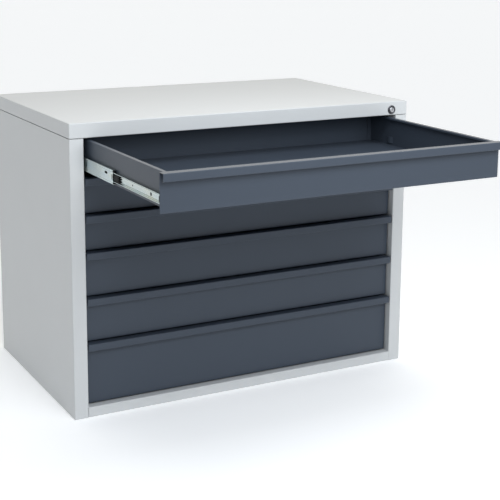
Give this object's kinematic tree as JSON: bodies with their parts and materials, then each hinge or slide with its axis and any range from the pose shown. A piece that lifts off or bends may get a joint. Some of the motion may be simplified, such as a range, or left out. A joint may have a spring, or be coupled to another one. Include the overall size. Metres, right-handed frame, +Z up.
{
  "type": "drawer cabinet",
  "caption": "Free-standing steel drawer cabinet with wide stacked drawers on telescopic ball-bearing slides, handle lips and a cam lock in the lid.",
  "frame": {"origin": "centre of the cabinet's footprint on the floor; the open drawer isn't part of the footprint", "axes": "+X to the cabinet's right as seen from the front, +Y to its back, +Z up; drawers open along -Y"},
  "size_m": [1.05, 1.14, 0.8],
  "materials": {
    "cabinet_paint": "light grey powder coat, satin, fine texture",
    "drawer_paint": "anthracite powder coat, satin, fine texture",
    "zinc_plate": "bright zinc plating on cold-rolled steel",
    "bearing_steel": "polished balls in a plain steel strip",
    "lock_chrome": "satin chrome on a die-cast cylinder"
  },
  "bodies": {
    "cabinet": {"lid": "cabinet_paint", "lid_stiffener": "cabinet_paint", "left_side": "cabinet_paint", "right_side": "cabinet_paint", "back_panel": "cabinet_paint", "base_pan": "cabinet_paint", "left_front_upright": "cabinet_paint", "right_front_upright": "cabinet_paint", "left_rear_upright": "cabinet_paint", "right_rear_upright": "cabinet_paint", "slide_screws": "zinc_plate", "lock_housing": "lock_chrome", "lock_nut": "lock_chrome", "bar_guides": "zinc_plate", "drawer_1_outer_rails": "zinc_plate", "drawer_2_outer_rails": "zinc_plate", "drawer_3_outer_rails": "zinc_plate", "drawer_4_outer_rails": "zinc_plate", "drawer_5_outer_rails": "zinc_plate", "drawer_6_outer_rails": "zinc_plate"},
    "lock_core": {"lock_plug": "lock_chrome", "lock_cam": "lock_chrome"},
    "locking_bar": {"lock_bar": "zinc_plate", "lock_catches": "zinc_plate"},
    "drawer_1": {"drawer_1_tray": "drawer_paint", "drawer_1_front": "drawer_paint", "drawer_1_inner_rails": "zinc_plate"},
    "middle_1": {"drawer_1_middle_rails": "zinc_plate"},
    "outer_cage_1": {"drawer_1_outer_cages": "bearing_steel"},
    "inner_cage_1": {"drawer_1_inner_cages": "bearing_steel"},
    "drawer_2": {"drawer_2_tray": "drawer_paint", "drawer_2_front": "drawer_paint", "drawer_2_inner_rails": "zinc_plate"},
    "middle_2": {"drawer_2_middle_rails": "zinc_plate"},
    "outer_cage_2": {"drawer_2_outer_cages": "bearing_steel"},
    "inner_cage_2": {"drawer_2_inner_cages": "bearing_steel"},
    "drawer_3": {"drawer_3_tray": "drawer_paint", "drawer_3_front": "drawer_paint", "drawer_3_inner_rails": "zinc_plate"},
    "middle_3": {"drawer_3_middle_rails": "zinc_plate"},
    "outer_cage_3": {"drawer_3_outer_cages": "bearing_steel"},
    "inner_cage_3": {"drawer_3_inner_cages": "bearing_steel"},
    "drawer_4": {"drawer_4_tray": "drawer_paint", "drawer_4_front": "drawer_paint", "drawer_4_inner_rails": "zinc_plate"},
    "middle_4": {"drawer_4_middle_rails": "zinc_plate"},
    "outer_cage_4": {"drawer_4_outer_cages": "bearing_steel"},
    "inner_cage_4": {"drawer_4_inner_cages": "bearing_steel"},
    "drawer_5": {"drawer_5_tray": "drawer_paint", "drawer_5_front": "drawer_paint", "drawer_5_inner_rails": "zinc_plate"},
    "middle_5": {"drawer_5_middle_rails": "zinc_plate"},
    "outer_cage_5": {"drawer_5_outer_cages": "bearing_steel"},
    "inner_cage_5": {"drawer_5_inner_cages": "bearing_steel"},
    "drawer_6": {"drawer_6_tray": "drawer_paint", "drawer_6_front": "drawer_paint", "drawer_6_inner_rails": "zinc_plate"},
    "middle_6": {"drawer_6_middle_rails": "zinc_plate"},
    "outer_cage_6": {"drawer_6_outer_cages": "bearing_steel"},
    "inner_cage_6": {"drawer_6_inner_cages": "bearing_steel"}
  },
  "joints": [
    {"name": "drawer_1_slide", "type": "slide", "parent": "cabinet", "child": "drawer_1", "axis": [0, -1, 0], "range_m": [-0.49, 0.05]},
    {"name": "middle_1_slide", "type": "slide", "parent": "cabinet", "child": "middle_1", "axis": [0, -1, 0], "range_m": [-0.245, 0.025]},
    {"name": "outer_cage_1_slide", "type": "slide", "parent": "cabinet", "child": "outer_cage_1", "axis": [0, -1, 0], "range_m": [-0.1225, 0.0125]},
    {"name": "inner_cage_1_slide", "type": "slide", "parent": "cabinet", "child": "inner_cage_1", "axis": [0, -1, 0], "range_m": [-0.3675, 0.0375]},
    {"name": "drawer_2_slide", "type": "slide", "parent": "cabinet", "child": "drawer_2", "axis": [0, -1, 0], "range_m": [0, 0.54]},
    {"name": "middle_2_slide", "type": "slide", "parent": "cabinet", "child": "middle_2", "axis": [0, -1, 0], "range_m": [0, 0.27]},
    {"name": "outer_cage_2_slide", "type": "slide", "parent": "cabinet", "child": "outer_cage_2", "axis": [0, -1, 0], "range_m": [0, 0.135]},
    {"name": "inner_cage_2_slide", "type": "slide", "parent": "cabinet", "child": "inner_cage_2", "axis": [0, -1, 0], "range_m": [0, 0.405]},
    {"name": "drawer_3_slide", "type": "slide", "parent": "cabinet", "child": "drawer_3", "axis": [0, -1, 0], "range_m": [0, 0.54]},
    {"name": "middle_3_slide", "type": "slide", "parent": "cabinet", "child": "middle_3", "axis": [0, -1, 0], "range_m": [0, 0.27]},
    {"name": "outer_cage_3_slide", "type": "slide", "parent": "cabinet", "child": "outer_cage_3", "axis": [0, -1, 0], "range_m": [0, 0.135]},
    {"name": "inner_cage_3_slide", "type": "slide", "parent": "cabinet", "child": "inner_cage_3", "axis": [0, -1, 0], "range_m": [0, 0.405]},
    {"name": "drawer_4_slide", "type": "slide", "parent": "cabinet", "child": "drawer_4", "axis": [0, -1, 0], "range_m": [0, 0.54]},
    {"name": "middle_4_slide", "type": "slide", "parent": "cabinet", "child": "middle_4", "axis": [0, -1, 0], "range_m": [0, 0.27]},
    {"name": "outer_cage_4_slide", "type": "slide", "parent": "cabinet", "child": "outer_cage_4", "axis": [0, -1, 0], "range_m": [0, 0.135]},
    {"name": "inner_cage_4_slide", "type": "slide", "parent": "cabinet", "child": "inner_cage_4", "axis": [0, -1, 0], "range_m": [0, 0.405]},
    {"name": "drawer_5_slide", "type": "slide", "parent": "cabinet", "child": "drawer_5", "axis": [0, -1, 0], "range_m": [0, 0.54]},
    {"name": "middle_5_slide", "type": "slide", "parent": "cabinet", "child": "middle_5", "axis": [0, -1, 0], "range_m": [0, 0.27]},
    {"name": "outer_cage_5_slide", "type": "slide", "parent": "cabinet", "child": "outer_cage_5", "axis": [0, -1, 0], "range_m": [0, 0.135]},
    {"name": "inner_cage_5_slide", "type": "slide", "parent": "cabinet", "child": "inner_cage_5", "axis": [0, -1, 0], "range_m": [0, 0.405]},
    {"name": "drawer_6_slide", "type": "slide", "parent": "cabinet", "child": "drawer_6", "axis": [0, -1, 0], "range_m": [0, 0.54]},
    {"name": "middle_6_slide", "type": "slide", "parent": "cabinet", "child": "middle_6", "axis": [0, -1, 0], "range_m": [0, 0.27]},
    {"name": "outer_cage_6_slide", "type": "slide", "parent": "cabinet", "child": "outer_cage_6", "axis": [0, -1, 0], "range_m": [0, 0.135]},
    {"name": "inner_cage_6_slide", "type": "slide", "parent": "cabinet", "child": "inner_cage_6", "axis": [0, -1, 0], "range_m": [0, 0.405]},
    {"name": "key_turn", "type": "hinge", "parent": "cabinet", "child": "lock_core", "pos_m": [0.47, -0.325, 0.776], "axis": [0, 1, 0], "range_deg": [0, 90]},
    {"name": "bar_slide", "type": "slide", "parent": "cabinet", "child": "locking_bar", "axis": [0, 0, -1], "range_m": [0, 0.01273]}
  ],
  "couplings": [
    {"joint": "middle_1_slide", "follows": "drawer_1_slide", "ratio": 0.5},
    {"joint": "outer_cage_1_slide", "follows": "drawer_1_slide", "ratio": 0.25},
    {"joint": "inner_cage_1_slide", "follows": "drawer_1_slide", "ratio": 0.75},
    {"joint": "middle_2_slide", "follows": "drawer_2_slide", "ratio": 0.5},
    {"joint": "outer_cage_2_slide", "follows": "drawer_2_slide", "ratio": 0.25},
    {"joint": "inner_cage_2_slide", "follows": "drawer_2_slide", "ratio": 0.75},
    {"joint": "middle_3_slide", "follows": "drawer_3_slide", "ratio": 0.5},
    {"joint": "outer_cage_3_slide", "follows": "drawer_3_slide", "ratio": 0.25},
    {"joint": "inner_cage_3_slide", "follows": "drawer_3_slide", "ratio": 0.75},
    {"joint": "middle_4_slide", "follows": "drawer_4_slide", "ratio": 0.5},
    {"joint": "outer_cage_4_slide", "follows": "drawer_4_slide", "ratio": 0.25},
    {"joint": "inner_cage_4_slide", "follows": "drawer_4_slide", "ratio": 0.75},
    {"joint": "middle_5_slide", "follows": "drawer_5_slide", "ratio": 0.5},
    {"joint": "outer_cage_5_slide", "follows": "drawer_5_slide", "ratio": 0.25},
    {"joint": "inner_cage_5_slide", "follows": "drawer_5_slide", "ratio": 0.75},
    {"joint": "middle_6_slide", "follows": "drawer_6_slide", "ratio": 0.5},
    {"joint": "outer_cage_6_slide", "follows": "drawer_6_slide", "ratio": 0.25},
    {"joint": "inner_cage_6_slide", "follows": "drawer_6_slide", "ratio": 0.75},
    {"joint": "key_turn", "follows": "bar_slide", "rad_per_m": 123.41}
  ]
}
